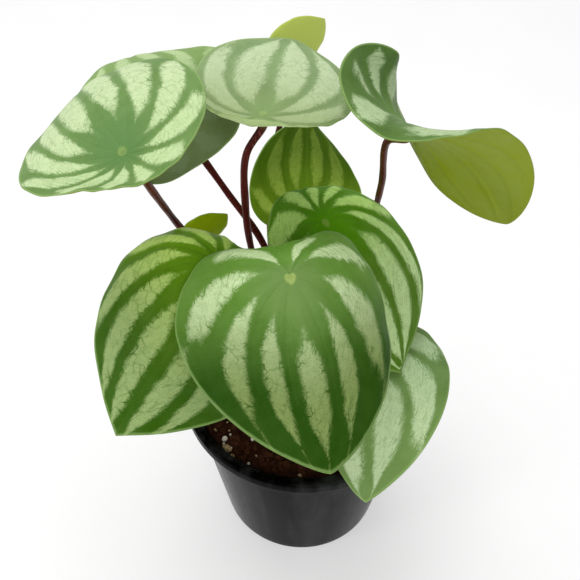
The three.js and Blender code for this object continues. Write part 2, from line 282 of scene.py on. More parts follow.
# Camera solved from the pot's rim and base in the photo
CAMERA_PITCH = math.radians(46)
CAMERA_ROLL = math.radians(0.5)
CAMERA_DISTANCE = 0.268
CAMERA_TARGET = Vector((-5.4, 0, 121)) * MM
CAMERA_LENS = 50.0
CAMERA_SENSOR = 36.0
CAMERA_CLIP_START = 0.01

rng = np.random.default_rng(41)


# Shader formulas

class Number:
    """A number in a shader tree, so that a formula of numbers builds its Math nodes."""

    def __init__(self, tree, socket):
        self.tree = tree
        self.socket = socket

    def _math(self, operation, *others, clamp=False):
        node = self.tree.nodes.new("ShaderNodeMath")
        node.operation = operation
        node.use_clamp = clamp
        for slot, value in enumerate((self, *others)):
            if isinstance(value, Number):
                self.tree.links.new(value.socket, node.inputs[slot])
            else:
                node.inputs[slot].default_value = value
        return Number(self.tree, node.outputs[0])

    def __add__(self, other):
        return self._math("ADD", other)

    def __sub__(self, other):
        return self._math("SUBTRACT", other)

    def __mul__(self, other):
        return self._math("MULTIPLY", other)

    def __truediv__(self, other):
        return self._math("DIVIDE", other)

    def root(self):
        return self._math("SQRT")

    def angle_from(self, other):
        return self._math("ARCTAN2", other)

    def clamped(self):
        return self._math("ADD", 0.0, clamp=True)

    def ramp(self, low, high):
        """0 at low and 1 at high, smooth between; low may be the larger."""
        node = self.tree.nodes.new("ShaderNodeMapRange")
        node.interpolation_type = "SMOOTHSTEP"
        node.inputs["From Min"].default_value = low
        node.inputs["From Max"].default_value = high
        self.tree.links.new(self.socket, node.inputs["Value"])
        return Number(self.tree, node.outputs["Result"])

    def through(self, stops):
        """Straight lines through (place, value) stops, places from 0 to 1 in rising order."""
        node = self.tree.nodes.new("ShaderNodeValToRGB")
        elements = node.color_ramp.elements
        elements.remove(elements[-1])
        for index, (place, value) in enumerate(stops):
            stop = elements.new(place) if index else elements[0]
            stop.position = place
            stop.color = (value, value, value, 1)
        self.tree.links.new(self.socket, node.inputs["Fac"])
        return Number(self.tree, node.outputs["Color"])


class Surface:
    """A principled material under construction."""

    def __init__(self, name, roughness, specular=0.5):
        self.material = bpy.data.materials.new(name)
        self.material.use_nodes = True
        self.tree = self.material.node_tree
        self.add = self.tree.nodes.new
        self.link = self.tree.links.new
        self.shader = self.tree.nodes["Principled BSDF"]
        self.shader.inputs["Roughness"].default_value = roughness
        self.shader.inputs["Specular IOR Level"].default_value = specular
        self.place = self.add("ShaderNodeTexCoord").outputs["Object"]

    def parts(self, vector):
        """The three numbers of a vector socket."""
        node = self.add("ShaderNodeSeparateXYZ")
        self.link(vector, node.inputs[0])
        return [Number(self.tree, socket) for socket in node.outputs]

    def attribute(self, name):
        """The three numbers of a vector kept on the mesh."""
        node = self.add("ShaderNodeAttribute")
        node.attribute_name = name
        return self.parts(node.outputs["Vector"])

    def _fed(self, kind, vector, **inputs):
        """A new node that reads vector and whose named inputs are set."""
        node = self.add(kind)
        self.link(vector, node.inputs["Vector"])
        for name, value in inputs.items():
            node.inputs[name].default_value = value
        return node

    def noise(self, size_mm, detail=3.0, roughness=0.55, stretch=(1, 1, 1)):
        """Cloudy noise about 0 with lumps about size_mm across, and longer where stretch is under 1."""
        scaled = self._fed("ShaderNodeMapping", self.place, Scale=stretch)
        node = self._fed("ShaderNodeTexNoise", scaled.outputs[0], Scale=1 / (size_mm * MM), Detail=detail,
                         Roughness=roughness)
        return Number(self.tree, node.outputs["Fac"]) - 0.5

    def cells(self, size_mm, feature="F1"):
        """Distance field of scattered cells about size_mm across."""
        node = self._fed("ShaderNodeTexVoronoi", self.place, Scale=1 / (size_mm * MM))
        node.feature = feature
        return Number(self.tree, node.outputs["Distance"])

    def plane(self, x, y):
        """Texture place from two numbers."""
        node = self.add("ShaderNodeCombineXYZ")
        self.link(x.socket, node.inputs[0])
        self.link(y.socket, node.inputs[1])
        return node.outputs[0]

    def cells_at(self, x, y):
        """Distance from the edges of cells one unit across, at the place (x, y)."""
        node = self._fed("ShaderNodeTexVoronoi", self.plane(x, y), Scale=1.0)
        node.voronoi_dimensions = "2D"
        node.feature = "DISTANCE_TO_EDGE"
        return Number(self.tree, node.outputs["Distance"])

    def noise_at(self, x, y):
        """Cloudy noise about 0 with lumps one unit across, at the place (x, y)."""
        node = self._fed("ShaderNodeTexNoise", self.plane(x, y), Scale=1.0, Detail=2.0)
        node.noise_dimensions = "2D"
        return Number(self.tree, node.outputs["Fac"]) - 0.5

    def mix(self, share, low, high):
        """Colour low where share is 0 and high where it is 1; either may be a socket."""
        node = self.add("ShaderNodeMix")
        node.data_type = "RGBA"
        factor, first, second = node.inputs["Factor"], node.inputs[6], node.inputs[7]
        self.link(share.clamped().socket, factor)
        for value, slot in ((low, first), (high, second)):
            if isinstance(value, tuple):
                slot.default_value = (*value, 1)
            else:
                self.link(value, slot)
        return node.outputs[2]

    def coloured(self, colour):
        self.link(colour, self.shader.inputs["Base Color"])
        return self.material

    def finished(self, colour, roughness, height, depth_mm):
        """The material with these, the surface raised by height times depth_mm in the shading."""
        self.link(roughness.clamped().socket, self.shader.inputs["Roughness"])
        node = self.add("ShaderNodeBump")
        node.inputs["Distance"].default_value = depth_mm * MM
        node.inputs["Strength"].default_value = 1.0
        self.link(height.socket, node.inputs["Height"])
        self.link(node.outputs[0], self.shader.inputs["Normal"])
        return self.coloured(colour)


def blend(first, second, share):
    """The colour a share of the way from first to second."""
    return tuple(a + (b - a) * share for a, b in zip(first, second))


def srgb(red, green, blue):
    """A screen colour from 0 to 255 as the linear colour that shaders take."""
    return tuple(c / 3294.6 if c <= 10.3 else ((c / 255 + 0.055) / 1.055) ** 2.4 for c in (red, green, blue))


# Leaf finish

VEIN_GREEN = srgb(112, 146, 86)
MARGIN_GREEN = srgb(164, 196, 120)
HUB_SPOT = srgb(176, 198, 112)


def band_stops(veins):
    """(angle, height) pairs: 0 on each dark vein and 1 amid each pale band, less in a narrow one."""
    middles = [((first + second) / 2, min(1.0, (second - first) / FULL_BAND))
               for first, second in zip(veins, veins[1:])]
    return sorted([(angle, 0.0) for angle in veins] + middles)


class LeafPattern:
    """The numbers over a blade that its colours and bumps are made of.

    reach is 0 at the hub and 1 at the edge, along is its part towards the tip, way goes from 0 at the hub
    to 1 near the tip, and face is 1 above. band is 0 on a vein and up to 1 between two, vein is 1 on a vein,
    and silver is 1 in the pale bands. cracks is the distance from a net of dark veinlets, and crack is 1 on
    them. fray and grain are noises about 0.
    """

    def __init__(self, surface, leaf):
        self.surface = surface
        across, self.along, self.face = surface.attribute("disc")
        reach_squared = across * across + self.along * self.along
        self.reach = reach_squared.root()
        # way also carries the painted shade and light by which the colours change from hub to tip
        self.way = self.along.ramp(-0.10, 0.75)
        self.grain = surface.noise(0.45, 3, 0.7)
        from_middle = across - reach_squared * leaf["drift"]
        from_meeting = self.along - reach_squared * leaf["draw"]
        turn = from_middle.angle_from(from_meeting) / (2 * math.pi) + 0.5
        wobble = surface.noise(8, 2) * VEIN_WOBBLE * self.reach.ramp(0.1, 0.5)
        self._add_cracks(turn, wobble)
        self._add_bands(leaf, (turn + wobble).clamped())

    def _add_cracks(self, turn, wobble):
        bent = self.surface.noise(2.6) * 1.3
        outward = self.reach * 16 + turn * 26 + bent
        self.cracks = self.surface.cells_at(outward, turn * 22 + wobble * 40 + bent)
        self.crack = self.cracks.ramp(0.11, 0.0) * self.surface.noise(5, 2).ramp(-0.12, 0.08)

    def _add_bands(self, leaf, turn):
        stops = [((angle + 180) / 360, height) for angle, height in band_stops(leaf["veins"])]
        self.band = turn.through(stops)
        self.vein = self.band.ramp(0.10, 0.0)
        self.fray = self.surface.noise_at(self.reach * 26 + turn * 20, turn * 60)
        start, end = leaf["bands"]
        lens = self.reach.ramp(start - 0.10, start + 0.24) * self.reach.ramp(end + 0.03, end - 0.16)
        threshold = lens * -leaf["silver"] + 1.0
        ragged = self.fray * 0.19 + self.grain * 0.34 + self.surface.noise(4, 2) * 0.16 - self.crack * 0.16
        patches = (self.band + ragged - threshold).ramp(-0.17, 0.21)
        begun = (self.reach + self.fray * 0.16 + self.grain * 0.10).ramp(start - 0.10, start + 0.14)
        self.silver = patches * begun

    def graded(self, first, second, share):
        """From the hub's colour to the tip's, each a share of the way from first's to second's; this change
        is painted shade and light.
        """
        return self.surface.mix(self.way, *(blend(*pair, share) for pair in zip(first, second)))


def leaf_green(surface, pattern, leaf, tones, deep, light):
    """The cloudy green between the bands, with a grey bloom and painted sheen about the hub and faint lines
    on the veins.
    """
    grain = pattern.grain
    shade = pattern.graded(deep, (BLACK, BLACK), 0.30)
    lit = pattern.graded(deep, light, 0.16)
    green = surface.mix(surface.noise(7) * 1.6 + grain * 1.3 + 0.5, shade, lit)
    green = surface.mix(grain * 1.6 + 0.5, green, surface.mix(pattern.way, *deep))
    # A grey bloom about the hub, its colour lightened by painted sheen
    hub_bloom_and_sheen = (pattern.reach + pattern.fray * 0.12 + grain * 0.08).ramp(leaf["bands"][0] + 0.20, 0.06)
    green = surface.mix(hub_bloom_and_sheen * (pattern.band * 0.18 + 0.74), green, tones["bloom_and_sheen"])
    faint = pattern.vein * pattern.reach.ramp(0.9, 0.2) * 0.13
    return surface.mix(faint, green, blend(VEIN_GREEN, tones["deep"], 0.4))


def leaf_silver(surface, pattern, deep, light):
    """The pale bands: mottled, and crossed by dark veinlets."""
    frost = surface.mix(pattern.way, *light)
    dim = pattern.graded(light, deep, 0.40)
    bright = surface.mix(pattern.grain * 2.8 + surface.noise(2.2) * 1.5 + 0.74, dim, frost)
    return surface.mix(pattern.crack * 0.55, bright, pattern.graded(light, deep, 0.75))


def leaf_material(name, leaf, tints):
    """Dark veins and silver bands that leave the hub and bow together at the tip."""
    surface = Surface(name, 0.46, 0.05)
    pattern = LeafPattern(surface, leaf)
    tones = {part: srgb(*screen) for part, screen in zip(TINT_PARTS, tints)}
    # under is the lower face's pale green with a painted glow of light shining through the leaf
    under = tones["under"]
    # Each pair runs from the hub to the tip; the change between them is painted shade and light
    deep = tones["deep"], tones["deep_far"]
    light = tones["light"], tones["light_far"]
    green = leaf_green(surface, pattern, leaf, tones, deep, light)
    upper = surface.mix(pattern.silver * 0.97, green, leaf_silver(surface, pattern, deep, light))
    margin = (pattern.reach + pattern.fray * 0.01).ramp(0.977, 0.994)
    upper = surface.mix(margin * 0.48, upper, blend(MARGIN_GREEN, tones["deep"], 0.15))
    upper = surface.mix(pattern.reach.ramp(0.058, 0.034) * leaf.get("spot", FAINT_SPOT), upper, HUB_SPOT)

    clouds = pattern.silver * 0.15 + surface.noise(9) * 0.9 + 0.2
    lower = surface.mix(clouds, under, blend(under, tones["light"], 0.20))
    lower = surface.mix(pattern.vein * 0.30, lower, blend(under, tones["deep"], 0.35))

    net = surface.cells(1.1, "DISTANCE_TO_EDGE").ramp(0.0, 0.25)
    pillows = pattern.cracks.ramp(0.0, 0.2) * 0.3 + pattern.band * 0.3
    return surface.finished(
        surface.mix(pattern.face.ramp(0.35, 0.65), lower, upper),
        pattern.silver * 0.08 + 0.42 + pattern.grain * 0.15,
        net * 0.30 + surface.noise(0.5, 2) * 0.4 + pillows, LEAF_BUMP)


# Other finishes

def petiole_material(name):
    """Dark red stalk skin with short lengthwise flecks, redder at the foot and green at the very top."""
    surface = Surface(name, 0.42, 0.08)
    _, along, _ = surface.attribute("stalk")
    cloud = surface.noise(5, 3, stretch=(1, 1, 0.35))
    skin = surface.mix(cloud * 1.5 + 0.5, STALK_DARK, STALK_RED)
    skin = surface.mix(along.ramp(0.40, 0.0) * 0.60, skin, STALK_FOOT)
    flecks = surface.noise(0.7, 2, stretch=(1, 1, 0.2))
    skin = surface.mix(flecks.ramp(0.08, 0.2) * 0.5, skin, STALK_FLECK)
    skin = surface.mix(along.ramp(0.965, 1.0) * 0.7, skin, STALK_TOP)
    skin_grain = surface.noise(0.6, 3, stretch=(1, 1, 0.25)) + 0.5
    return surface.finished(skin, flecks * 0.3 + 0.36, skin_grain, STALK_BUMP)


def pot_material():
    """Black moulded plastic with fine grain, broad upright bands of painted sheen, dust near the rim and
    faint scuffs.
    """
    surface = Surface("pot_plastic_black", 0.3, 0.02)
    _, _, height = surface.parts(surface.place)
    grain = surface.noise(0.35)
    cloud = surface.noise(14, 4, stretch=(1, 1, 0.4))
    # Broad upright bands of painted sheen in the colour, which also change the roughness
    broad = surface.noise(17, 2, stretch=(1, 1, 0.06))
    fine = surface.noise(4, 2, stretch=(1, 1, 0.10))
    sheen_streak = (broad + fine * 0.5) * 4.0
    plastic = surface.mix(cloud * 0.8 + sheen_streak + 0.4, POT_BLACK, POT_WORN_AND_SHEEN)
    dust = surface.noise(1.5, 5, 0.75).ramp(0.10, 0.34) * (height / MM).ramp(POT_HEIGHT - 24, POT_HEIGHT)
    plastic = surface.mix(dust * 0.45, plastic, POT_DUST)
    scuffs = surface.noise(3.0, 4, 0.7, stretch=(1, 1, 6)).ramp(0.16, 0.26)
    plastic = surface.mix(scuffs * 0.16, plastic, POT_SCUFF)
    roughness = cloud * 0.10 + sheen_streak * 0.10 + dust * 0.3 + scuffs * 0.12 + 0.20
    return surface.finished(plastic, roughness, grain + cloud * 0.4, POT_BUMP)


def soil_material(name, dark, light, fleck):
    """Damp crumbly mix of the given colours."""
    surface = Surface(name, 0.9, 0.06)
    cloud = surface.noise(3.5, 5, 0.7)
    grain = surface.noise(0.7, 4, 0.7)
    mix = surface.mix(cloud * 1.6 + 0.5, dark, light)
    mix = surface.mix(grain.ramp(0.10, 0.24) * 0.7, mix, fleck)
    mix = surface.mix(surface.noise(1.3, 2).ramp(-0.08, -0.26) * 0.8, mix, blend(dark, BLACK, 0.6))
    return surface.finished(mix, grain * 0.4 + 0.85, grain + cloud + 0.5, SOIL_BUMP)


def grain_material(name, dark, light, size_mm, roughness):
    """Mineral or bark with pits of about size_mm."""
    surface = Surface(name, roughness, 0.35)
    cloud = surface.noise(size_mm, 4, 0.65)
    pits = surface.cells(size_mm * 0.6).ramp(0.1, 0.5)
    tone = surface.mix(cloud * 1.4 + pits * 0.5, dark, light)
    return surface.finished(tone, cloud * 0.2 + roughness, pits + cloud, GRAIN_BUMP)


def crown_material():
    """Red-brown skin with paler scars."""
    surface = Surface("crown_skin", 0.55)
    cloud = surface.noise(3, 4)
    skin = surface.mix(cloud * 1.6 + 0.5, CROWN_DARK, CROWN_LIGHT)
    skin = surface.mix(surface.noise(0.8).ramp(0.08, 0.22) * 0.6, skin, CROWN_SCAR)
    return surface.finished(skin, cloud * 0.2 + 0.52, surface.noise(0.9, 4) + 0.5, CROWN_BUMP)


def floor_material():
    """Near white, with a glow that keeps it pale under soft light."""
    surface = Surface("floor_white", 0.6, 0.3)
    surface.shader.inputs["Emission Color"].default_value = (1, 1, 1, 1)
    surface.shader.inputs["Emission Strength"].default_value = FLOOR_GLOW
    return surface.coloured(surface.mix(surface.noise(60, 2) + 0.5, FLOOR_DARK, FLOOR_LIGHT))


# Mesh helpers

def smoothstep(value, low, high):
    """0 at low and 1 at high, smooth between; low may be the larger."""
    share = np.clip((value - low) / (high - low), 0, 1)
    return share * share * (3 - 2 * share)


def circle_angles(sides):
    return 2 * math.pi * np.arange(sides) / sides


def ring_faces(first, second, sides):
    """Quads between two closed rings, given their first vertices."""
    here = np.arange(sides)
    after = (here + 1) % sides
    return np.stack([first + here, second + here, second + after, first + after], axis=-1)


def grid_faces(rings, sides, first=0, flip=False):
    """Quads between rings that follow each other from the vertex first."""
    starts = [first + ring * sides for ring in range(rings)]
    quads = np.concatenate([ring_faces(start, after, sides) for start, after in zip(starts, starts[1:])])
    return quads[:, ::-1] if flip else quads


def fan_faces(centre, ring_first, sides, flip=False):
    """Triangles from one vertex to a closed ring."""
    here = np.arange(sides)
    after = (here + 1) % sides
    fan = np.stack([np.full(sides, centre), ring_first + here, ring_first + after], axis=-1)
    return fan[:, ::-1] if flip else fan


def closed_tube_faces(rings, sides):
    """Faces of a stack of rings and of fans to the two end points that follow the rings."""
    start_point = rings * sides
    return [grid_faces(rings, sides, flip=True), fan_faces(start_point, 0, sides, flip=True),
            fan_faces(start_point + 1, (rings - 1) * sides, sides)]


def add_object(name, data):
    thing = bpy.data.objects.new(name, data)
    bpy.context.scene.collection.objects.link(thing)
    return thing


def make_piece(name, points_mm, faces, material, vectors=None):
    """A smooth mesh object at the origin from points in mm; vectors holds named point vectors."""
    mesh = bpy.data.meshes.new(name)
    corners = [face.tolist() for part in faces for face in part]
    mesh.from_pydata((np.asarray(points_mm) * MM).tolist(), [], corners)
    mesh.update()
    for key, values in (vectors or {}).items():
        layer = mesh.attributes.new(key, "FLOAT_VECTOR", "POINT")
        layer.data.foreach_set("vector", np.asarray(values, dtype=np.float32).ravel())
    mesh.polygons.foreach_set("use_smooth", [True] * len(mesh.polygons))
    mesh.materials.append(material)
    return add_object(name, mesh)


def dress(piece, slot, *nodes):
    """The piece rides on the plant's one body and stands for the CAD nodes named; slot is not used."""
    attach(piece, "root")
    if nodes:
        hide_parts(*nodes)


# Leaf blades

def blade_axes(leaf):
    """Unit vectors along the blade to its tip, to its left and up from its face."""
    heading, rise, roll = (math.radians(angle) for angle in leaf["turn"])
    along = Vector((math.cos(rise) * math.cos(heading), math.cos(rise) * math.sin(heading), math.sin(rise)))
    level = Vector((-math.sin(heading), math.cos(heading), 0))
    left = Matrix.Rotation(roll, 3, along) @ level
    up = along.cross(left)
    return np.array(along), np.array(left), np.array(up)


def outline(leaf, theta):
    """Across and along of the blade's edge, theta 0 at the tip, as in the CAD part."""
    length, width = leaf["size"]
    c, s = np.cos(theta), np.sin(theta)
    sharpness = 1 + leaf["point"] * ((1 + c) / 2) ** 4 - 0.12 * ((1 - c) / 2) ** 2
    half_width = width / 2 * (1 - leaf["egg"] * c) / (1 + 0.5 * leaf["egg"] ** 2)
    dent = leaf["notch"] * np.exp(-(((theta - math.pi) / NOTCH_WIDTH) ** 2))
    across = half_width * np.sign(s) * np.abs(s) ** sharpness
    along = length * (0.5 + 0.5 * c + dent - leaf["inside"])
    return across, along


def blade_middle(leaf, theta, shares):
    """Middle surface (rings x sides x 3) and the rays' angles from the midrib, as in the CAD part."""
    along_axis, left_axis, up_axis = blade_axes(leaf)
    across, along = outline(leaf, theta)
    reach = np.hypot(across, along)
    phi = np.arctan2(across, along)
    tip, left, base, right = leaf["bend"]
    bend = np.radians(
        (tip + left + base + right) / 4
        + (tip - base) / 2 * np.cos(phi)
        + (left - right) / 2 * np.sin(phi)
        + (tip - left + base - right) / 4 * np.cos(2 * phi)
        + leaf["twist"] * np.sin(2 * phi))
    cup = math.radians(leaf["cup"])
    steps = (np.arange(CURVE_STEPS) + 0.5) / CURVE_STEPS
    w = shares[:, None, None] * steps[None, None, :]
    slope = cup * np.minimum(w / FUNNEL_SHARE, 1) + bend[None, :, None] * w
    step = (reach[None, :] * shares[:, None]) / CURVE_STEPS
    flat = np.cos(slope).sum(axis=2) * step
    rise = np.sin(slope).sum(axis=2) * step
    points = (np.array(leaf["hub"], dtype=float)
              + (flat * np.cos(phi))[..., None] * along_axis
              + (flat * np.sin(phi))[..., None] * left_axis
              + rise[..., None] * up_axis)
    return points, phi


def surface_normals(hub, points):
    """Normals of a grid of rings about a hub."""
    inner = np.concatenate([np.repeat(hub[None, None, :], points.shape[1], axis=1), points[:-1]])
    outer = np.concatenate([points[1:], points[-1:]])
    radial = outer - inner
    around = np.roll(points, -1, axis=1) - np.roll(points, 1, axis=1)
    normals = np.cross(radial, around)
    return normals / np.linalg.norm(normals, axis=2, keepdims=True)


def band_height(leaf, disc_x, disc_y):
    """0 on a vein and up to 1 amid the space between two, as in LeafPattern but without its wobble."""
    squared = disc_x ** 2 + disc_y ** 2
    around = np.arctan2(disc_x - leaf["drift"] * squared, disc_y - leaf["draw"] * squared)
    places, heights = zip(*band_stops(leaf["veins"]))
    return np.interp(np.degrees(around), places, heights)


def blade_relief(name, leaf, u, phi):
    """Heights of the upper face, the lower face and the edge's ripple over the middle surface, in mm."""
    band = band_height(leaf, u * np.sin(phi), u * np.cos(phi))
    depth = leaf["size"][0] / RELIEF_LENGTH
    fade = smoothstep(u, 0.02, 0.25) * smoothstep(u, 1.0, 0.9)
    groove = (1 - smoothstep(band, 0.0, 0.30)) * fade
    puff = smoothstep(band, 0.2, 0.9) * fade
    waves = 0.6 * np.sin(9 * phi + 1.1) + 0.4 * np.sin(17 * phi + len(name))
    ripple = leaf["ripple"] * smoothstep(u, 0.7, 1.0) * waves
    half = BLADE_THICKNESS / 2 * (1 - EDGE_THINNING * smoothstep(u, 0.90, 1.0))
    above = half + depth * (PUFF_HEIGHT * puff - GROOVE_DEPTH * groove) + ripple
    below = -half - depth * (RIB_HEIGHT * groove) + ripple
    return above, below, ripple


def blade_faces(rings, sides):
    """Faces of hub, upper rings, hub below, lower rings and rim, in that order of vertices."""
    count = rings * sides
    under_hub = 1 + count
    under_first = 2 + count
    rim_first = 2 + 2 * count
    return [fan_faces(0, 1, sides), grid_faces(rings, sides, 1),
            fan_faces(under_hub, under_first, sides, flip=True),
            grid_faces(rings, sides, under_first, flip=True),
            ring_faces(under_hub - sides, rim_first, sides), ring_faces(rim_first, rim_first - sides, sides)]


def make_blade(name, leaf):
    """Both faces of the blade with sunken veins above, raised veins below and a thin rounded edge."""
    sides, rings = SMALL_BLADE_MESH if leaf["size"][0] < SMALL_LEAF else BLADE_MESH
    shares = np.linspace(0, 1, rings + 1)[1:] ** RING_SPACING
    middle, phi = blade_middle(leaf, circle_angles(sides), shares)
    hub = np.array(leaf["hub"], dtype=float)
    normals = surface_normals(hub, middle)
    hub_normal = normals[0].mean(axis=0)
    hub_normal /= np.linalg.norm(hub_normal)

    u = shares[:, None]
    above, below, ripple = blade_relief(name, leaf, u, phi)
    top = middle + above[..., None] * normals
    bottom = middle + below[..., None] * normals
    rim = middle[-1] + (middle[-1] - middle[-2]) * RIM_OVERHANG + ripple[-1][:, None] * normals[-1]
    points = np.concatenate([
        (hub + hub_normal * HUB_ABOVE)[None], top.reshape(-1, 3),
        (hub - hub_normal * HUB_BELOW)[None], bottom.reshape(-1, 3), rim])

    disc = np.stack([u * np.sin(phi), u * np.cos(phi)], axis=-1).reshape(-1, 2)
    count = len(disc)
    vectors = np.concatenate([
        [[0, 0, 1]], np.column_stack([disc, np.ones(count)]),
        [[0, 0, 0]], np.column_stack([disc, np.zeros(count)]),
        np.column_stack([disc[-sides:], np.full(sides, RIM_FACE)])])
    material = leaf_material(f"leaf_{name}", leaf, TINTS[name])
    piece = make_piece(f"{name}_leaf", points, blade_faces(rings, sides), material, {"disc": vectors})
    dress(piece, "leaf_blade", f"{name}_blade")


# Petioles

def between(first, second, start, end, moment):
    """The place at moment on the way from first, passed at start, to second, passed at end."""
    return (end - moment) / (end - start) * first + (moment - start) / (end - start) * second


def stalk_route(leaf):
    """Centripetal Catmull-Rom curve through the petiole's places, as in the CAD part."""
    azimuth, tilt = (math.radians(angle) for angle in leaf["start"])
    out = np.array([math.sin(tilt) * math.cos(azimuth), math.sin(tilt) * math.sin(azimuth), math.cos(tilt)])
    centre = np.array([0, 0, CROWN_CENTRE_Z])
    _, _, up = blade_axes(leaf)
    hub = np.array(leaf["hub"], dtype=float)
    places = [centre + out * (CROWN_RADIUS + GAP), centre + out * (CROWN_RADIUS + GAP + 3),
              *(np.array(place, dtype=float) for place in leaf["via"]),
              hub - PETIOLE_NECK * up, hub - (BLADE_THICKNESS / 2 + 1.5 * GAP) * up]
    places = [2 * places[0] - places[1], *places, 2 * places[-1] - places[-2]]
    points = []
    spans = len(places) - 3
    for span in range(spans):
        near = places[span:span + 4]
        t = [0.0]
        for a, b in zip(near, near[1:]):
            t.append(t[-1] + max(np.linalg.norm(b - a), 1e-6) ** 0.5)
        for share in np.linspace(0, 1, STALK_STEPS, endpoint=(span == spans - 1)):
            moment = t[1] + (t[2] - t[1]) * share
            lines = [between(near[i], near[i + 1], t[i], t[i + 1], moment) for i in range(3)]
            curves = [between(lines[i], lines[i + 1], t[i], t[i + 2], moment) for i in range(2)]
            points.append(between(*curves, t[1], t[2], moment))
    return np.array(points), out, up


def stalk_radii(lengths, phase):
    """Radius at each length from the foot: a little uneven, with a swollen foot and a flared top."""
    swell = 0.05 * np.sin(lengths / 6.0 + phase) + 0.03 * np.sin(lengths / 2.3 + phase)
    foot_share, foot_length = FOOT_SWELL
    top_share, top_length = TOP_FLARE
    foot = foot_share * np.exp(-lengths / foot_length)
    top = top_share * np.exp(-(lengths[-1] - lengths) / top_length)
    return PETIOLE_RADIUS * (1 + swell) * (1 + foot + top)


def make_petiole(name, leaf, material):
    """Slightly three-sided stalk that runs from inside the crown to the blade's underside."""
    route, out, up = stalk_route(leaf)
    route = np.concatenate([[route[0] - out * FOOT_SINK], route, [route[-1] + up * TOP_REACH]])
    lengths = np.concatenate([[0], np.cumsum(np.linalg.norm(np.diff(route, axis=0), axis=1))])
    phase = len(name) * 1.7
    tangent = np.gradient(route, axis=0)
    tangent /= np.linalg.norm(tangent, axis=1, keepdims=True)
    angle = circle_angles(STALK_SIDES)
    ridge = 1 + 0.035 * np.cos(3 * angle + phase)
    side = np.cross(tangent[0], [0, 0, 1.0])
    rings = []
    for point, direction, radius in zip(route, tangent, stalk_radii(lengths, phase)):
        side = side - direction * np.dot(side, direction)
        side /= np.linalg.norm(side)
        other = np.cross(direction, side)
        rings.append(point + (np.cos(angle) * ridge * radius)[:, None] * side
                     + (np.sin(angle) * ridge * radius)[:, None] * other)
    points = np.concatenate([*rings, route[:1], route[-1:]])
    along = np.concatenate([np.repeat(lengths / lengths[-1], STALK_SIDES), [0, 1]])
    vectors = np.column_stack([np.zeros_like(along), along, np.zeros_like(along)])
    faces = closed_tube_faces(len(rings), STALK_SIDES)
    piece = make_piece(f"{name}_stalk", points, faces, material, {"stalk": vectors})
    dress(piece, "petiole", f"{name}_petiole")


# Pot, soil and crown

def wall_radius(z):
    """Outside of the pot's wall at a height."""
    return POT_BASE_RADIUS + (POT_RIM_RADIUS - LIP_STEP - POT_BASE_RADIUS) * (z / POT_HEIGHT)


def rounded(profile, radius):
    """The profile with each inner corner turned into an arc that starts radius before it."""
    result = [np.array(profile[0], dtype=float)]
    for before, corner, after in zip(profile, profile[1:], profile[2:]):
        before, corner, after = (np.array(p, dtype=float) for p in (before, corner, after))
        room = min(radius, 0.45 * np.linalg.norm(corner - before), 0.45 * np.linalg.norm(after - corner))
        start = corner + (before - corner) / np.linalg.norm(before - corner) * room
        end = corner + (after - corner) / np.linalg.norm(after - corner) * room
        for s in np.linspace(0, 1, ARC_STEPS):
            result.append((1 - s) ** 2 * start + 2 * s * (1 - s) * corner + s * s * end)
    result.append(np.array(profile[-1], dtype=float))
    return np.array(result)


def filled(profile, longest):
    """The profile with points added so that no step is longer than longest."""
    result = [profile[0]]
    for a, b in zip(profile, profile[1:]):
        steps = max(1, int(math.ceil(np.linalg.norm(b - a) / longest)))
        result.extend(a + (b - a) * s / steps for s in range(1, steps + 1))
    return np.array(result)


def lathe(profile, sides):
    """Points and faces of a profile of (radius, z) turned about Z; its ends are on the axis."""
    inner = profile[1:-1]
    angle = circle_angles(sides)
    ring = np.stack([np.cos(angle), np.sin(angle)], axis=-1)
    body = np.concatenate([
        inner[:, None, :1] * ring[None], np.repeat(inner[:, None, 1:], sides, axis=1)], axis=2)
    points = np.concatenate([body.reshape(-1, 3), [[0, 0, profile[0][1]], [0, 0, profile[-1][1]]]])
    return points, closed_tube_faces(len(inner), sides)


def make_pot():
    """Thin pot with a hollow base on a foot ring, a small shoulder and a lip."""
    band_foot = POT_HEIGHT - LIP_HEIGHT
    shoulder = band_foot - SHOULDER_DROP
    base, rim = POT_BASE_RADIUS, POT_RIM_RADIUS
    inner_top = wall_radius(POT_HEIGHT) - POT_WALL
    inner_foot = wall_radius(POT_FLOOR) - POT_WALL
    profile = [
        (0, 0.6), (base - 5.5, 0.6), (base - 4.7, 0), (base - 1.5, 0), (base, 1.5),
        (wall_radius(shoulder) - 0.3, shoulder), (wall_radius(shoulder) + 0.9, shoulder + 0.8),
        (wall_radius(band_foot) + 0.7, band_foot - 0.25), (wall_radius(band_foot) + 0.9, band_foot),
        (rim - 0.5, band_foot), (rim, band_foot + 0.6), (rim, POT_HEIGHT - 0.8), (rim - 0.8, POT_HEIGHT),
        (inner_top + 0.5, POT_HEIGHT), (inner_top, POT_HEIGHT - 0.6), (inner_foot, POT_FLOOR + 1.5),
        (inner_foot - 1.5, POT_FLOOR), (0, POT_FLOOR)]
    points, faces = lathe(filled(rounded(profile, 0.7), 4.0), POT_SIDES)
    piece = make_piece("nursery_pot", points, faces, pot_material())
    dress(piece, "pot_plastic", "pot")


